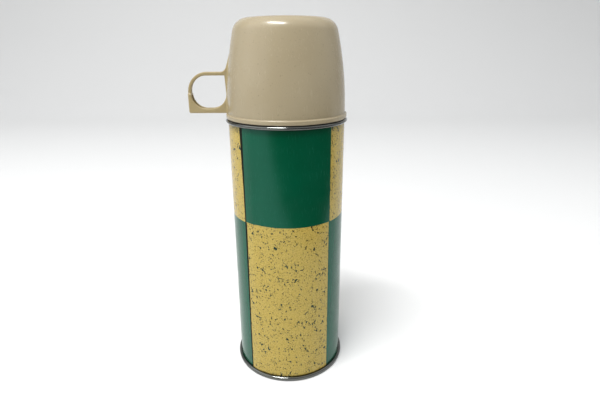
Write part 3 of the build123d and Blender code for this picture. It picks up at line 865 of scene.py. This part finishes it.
def strap_field(u, y, z):
    """The strap: the top and side of the loop, its rib down the cup and its gusset up it."""
    outer = box_2d(u, z, WITHIN, LOOP_OUT, BELOW, LOOP_TOP, (13.5, 1, 1, 1))
    rib_edge = RIB_LOW + (z - LOOP_STEP) * (RIB_TOP - RIB_LOW) / (STRAP_UNDER - LOOP_STEP)
    gap = box_2d(u, z, WITHIN, STRAP_IN, BELOW, STRAP_UNDER, (10.6, 9.9, 1, 1))
    ring = blend_max(outer, -np.maximum(gap, rib_edge - u), 0.3)
    # the gusset's edge is an arc that turns the strap's top up into a leaning straight line
    du, dz = u - GUSSET_OUT, z - LOOP_TOP - GUSSET_R
    in_turn = (du <= 0) & (du * sin(GUSSET_LEAN) - dz * cos(GUSSET_LEAN) >= 0)
    straight = np.minimum(du * cos(GUSSET_LEAN) + dz * sin(GUSSET_LEAN) + GUSSET_R, z - LOOP_TOP)
    gusset = np.where(in_turn, GUSSET_R - np.hypot(du, dz), straight)
    gusset = np.maximum(np.maximum(gusset, z - LOOP_TOP - GUSSET_H), LOOP_TOP - 1.5 - z)
    gusset = np.maximum(gusset, du - 0.3)
    strap = np.maximum(blend_min(ring, gusset, 0.3), LOOP_STEP - 1.0 - z)
    return slab(strap, y, STRAP_W / 2, 0.6)


def webs_field(u, y, z):
    """The webs below the strap, square outside and rounded inside, with the channel between them."""
    block = box_2d(u, z, WITHIN, LOOP_OUT, LOOP_LOW, LOOP_STEP, (0.3, 1.2, 1, 1))
    finger = box_2d(u, z, RIB_LOW - 0.5, WEB_IN, WEB_FLOOR, ABOVE, (9.9, 9.9, 11.0, 11.0))
    webs = slab(blend_max(block, -finger, 0.5), y, WEBS_W / 2, 0.6)
    out, floor, roof = LOOP_OUT - CHANNEL_WALL, LOOP_LOW + CHANNEL_WALL, LOOP_STEP - 1.2
    channel = box_2d(u, z, RIB_LOW + 1.15, out, floor, roof, (0.6, 0.6, 0.6, 0.6))
    channel = np.maximum(channel, np.abs(y) - CHANNEL_W / 2)
    return blend_max(webs, -channel, 0.4)


def make_handle():
    """The loop handle, moulded with the cup.  Every edge is softened and the root is filleted
    into the side."""
    # the grid reaches a little past the handle, and some way into the cup's wall
    step = 0.3
    low = np.array([35.0, -7.2, SIDE_Z - 1.2])
    high = np.array([LOOP_OUT + 0.9, 7.2, 239.4])
    u, y, z = np.meshgrid(*[np.arange(a, b, step) for a, b in zip(low, high)], indexing="ij")
    handle = blend_min(strap_field(u, y, z), webs_field(u, y, z), 0.5)

    # fillet into the side, kept a hair under the shell's own surface away from the handle
    side_r = SIDE_X + np.sqrt(SIDE_R**2 - np.maximum(0.0, z - SIDE_Z) ** 2)
    side = np.hypot(u, y) - side_r + 0.02
    body = blend_min(handle, side, 1.6)
    # only a thin skin of the side is kept, and nothing at the edges of the grid
    body = np.maximum(body, -(side + 1.0))
    body = np.maximum(body, np.abs(y) - 6.5)
    body = np.maximum(body, np.maximum(low[2] + 0.4 - z, z - high[2] + 0.7))
    points, faces = surface_net(body, low, step)
    points = [(-p[0], -p[1], p[2]) for p in points]
    new_piece("cup_handle", points, faces, "cup", None, "cup_plastic", mats["handle"])


def make_seal():
    """The soft ring between the cup's lip and the top ring."""
    low, high = edge("rim_seal", 0, "z"), edge("rim_seal", 1, "z")
    inner, outer = 38.9, edge("rim_seal", 1, "x")
    corners = [(inner, low, 0.12), (outer, low, 0.2), (outer, high, 0.2), (inner, high, 0.12)]
    mesh = lathe(rounded(corners, steps=4, support=0.02))
    new_piece("lip_seal", *mesh, "seal_ring", ["rim_seal"], "black_rubber", mats["black_rubber"])


make_jacket()
make_top_ring()
make_base()
make_collar()
make_stopper_plug()
make_stopper_cap()
make_cup()
make_handle()
make_seal()

# the CAD's own meshes serve for the pieces inside, with better materials
for node, key in (
    ("outer_flask", "glass"),
    ("inner_flask", "glass"),
    ("spacer_pads", "pad"),
    ("base_cushion", "grey_rubber"),
    ("neck_gasket", "grey_rubber"),
    ("stopper_gasket", "grey_rubber"),
    ("stopper_insulation", "foam"),
):
    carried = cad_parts[node]
    carried.data.materials.clear()
    carried.data.materials.append(mats[key])


# ---------------------------------------------------------------- stage, light and camera
def stage_mesh(name, points, faces, mat):
    """A smooth mesh of the stage, from points in metres."""
    mesh = bpy.data.meshes.new(name)
    mesh.from_pydata(points, [], faces)
    mesh.shade_smooth()
    mesh.materials.append(mat)
    made = bpy.data.objects.new(name, mesh)
    bpy.context.scene.collection.objects.link(made)
    return made


def make_floor():
    """A pale floor that curves up into a plain backdrop well behind the flask."""
    floor_mat, _, main = start_material("pale_floor")
    main.inputs["Base Color"].default_value = (0.75, 0.75, 0.745, 1)
    main.inputs["Roughness"].default_value = 0.6
    half, back, rise, bend = 3.0, 1.2, 3.0, 0.5
    line = [(-half, 0.0)] + arc(back, bend, bend, -pi / 2, 0, 16) + [(back + bend, rise)]
    points = [(x, y, z) for y, z in line for x in (-half * 1.5, half * 1.5)]
    faces = [(2 * k, 2 * k + 1, 2 * k + 3, 2 * k + 2) for k in range(len(line) - 1)]
    floor = stage_mesh("floor", points, faces, floor_mat)
    return floor_mat


def make_surround(floor_mat):
    """Pale walls beyond the floor's other sides, seen only by the camera, so that the flask has a
    plain background from every side."""
    radius, rise, bend, above = 2.9, 3.0, 0.6, 0.001
    line = arc(radius - bend, above + bend, bend, -pi / 2, 0, 12) + [(radius, rise)]
    around = 96
    points = [
        (r * cos(2 * pi * k / around), r * sin(2 * pi * k / around), z)
        for r, z in line
        for k in range(around)
    ]
    faces = []
    for j in range(len(line) - 1):
        for k in range(around):
            a, b = j * around + k, j * around + (k + 1) % around
            faces.append((a, a + around, b + around, b))
    surround = stage_mesh("surround", points, faces, floor_mat)
    surround.visible_diffuse = False
    surround.visible_glossy = False
    surround.visible_transmission = False
    surround.visible_shadow = False


def make_flag():
    """A black flag on the floor in front, seen only in reflections, as a dark room would be."""
    flag_mat, _, main = start_material("flag_black")
    main.inputs["Base Color"].default_value = (0.004, 0.004, 0.004, 1)
    main.inputs["Specular IOR Level"].default_value = 0.0
    # its near edge slants from the left end to the right, where it turns along X
    near, slope, far, rise = -0.352, 0.91, 3.0, 0.002
    left, right = -1.2, 0.55
    points = [(left, near + left * slope, rise), (left, -far, rise), (far, -far, rise)]
    points += [(far, near + right * slope, rise), (right, near + right * slope, rise)]
    flag = stage_mesh("flag", points, [(0, 1, 2, 3, 4)], flag_mat)
    flag.visible_camera = False
    flag.visible_diffuse = False
    flag.visible_shadow = False


def add_light(name, place, target, size, power):
    """A soft area light, aimed at the target and hidden from the camera."""
    lamp = bpy.data.lights.new(name, "AREA")
    lamp.shape = "RECTANGLE"
    lamp.size, lamp.size_y = size
    lamp.energy = power
    obj = bpy.data.objects.new(name, lamp)
    obj.location = place
    obj.rotation_euler = (Vector(target) - Vector(place)).to_track_quat("-Z", "Y").to_euler()
    obj.visible_camera = False
    bpy.context.scene.collection.objects.link(obj)


def light_stage():
    """A bright room, lighter at the left, with the dim side of the room in front; one soft strip
    high in front gives the small highlights."""
    world = bpy.data.worlds.new("room")
    bpy.context.scene.world = world
    world.use_nodes = True
    tree = world.node_tree
    parts = tree.nodes.new("ShaderNodeSeparateXYZ")
    tree.links.new(shade(tree, "ShaderNodeTexCoord"), parts.inputs[0])
    across = fit(tree, parts.outputs[0], -1.0, 1.0, 1.32, 0.84)
    depth = fit(tree, parts.outputs[1], -0.9, 0.1, 0.28, 1.0)
    above = fit(tree, parts.outputs[2], 0.2, 0.9, 0.0, 0.52)
    power = maths(tree, "ADD", maths(tree, "MULTIPLY", across, depth), above)
    background = tree.nodes["Background"]
    background.inputs["Color"].default_value = (0.97, 0.985, 1.0, 1)
    tree.links.new(maths(tree, "MULTIPLY", power, 0.755), background.inputs["Strength"])
    case_middle, cup_middle = (0, 0, 0.13), (0, 0, 0.22)
    add_light("window", (-1.3, -0.75, 1.1), case_middle, (1.8, 1.8), 8.0)
    add_light("strip", (-0.31, -0.50, 1.6), cup_middle, (0.68, 0.17), 24.0)


def make_camera():
    """306 mm in front of the axis and a little to its right, looking down by 19.6 degrees, and
    rolled by a third of a degree as a hand-held camera is."""
    camera = bpy.data.cameras.new("camera")
    camera.lens = 25.8
    camera.sensor_width = 36.0
    camera.clip_start = 0.01
    eye = bpy.data.objects.new("camera", camera)
    eye.location = (0.0091, -0.3064, 0.2413)
    look = Euler((radians(90 - 19.585), 0, 0)).to_quaternion()
    roll = Euler((0, 0, radians(-0.3))).to_quaternion()
    eye.rotation_mode = "QUATERNION"
    eye.rotation_quaternion = look @ roll
    bpy.context.scene.collection.objects.link(eye)
    bpy.context.scene.camera = eye


make_surround(make_floor())
make_flag()
light_stage()
make_camera()
bpy.context.scene.view_settings.view_transform = "Standard"
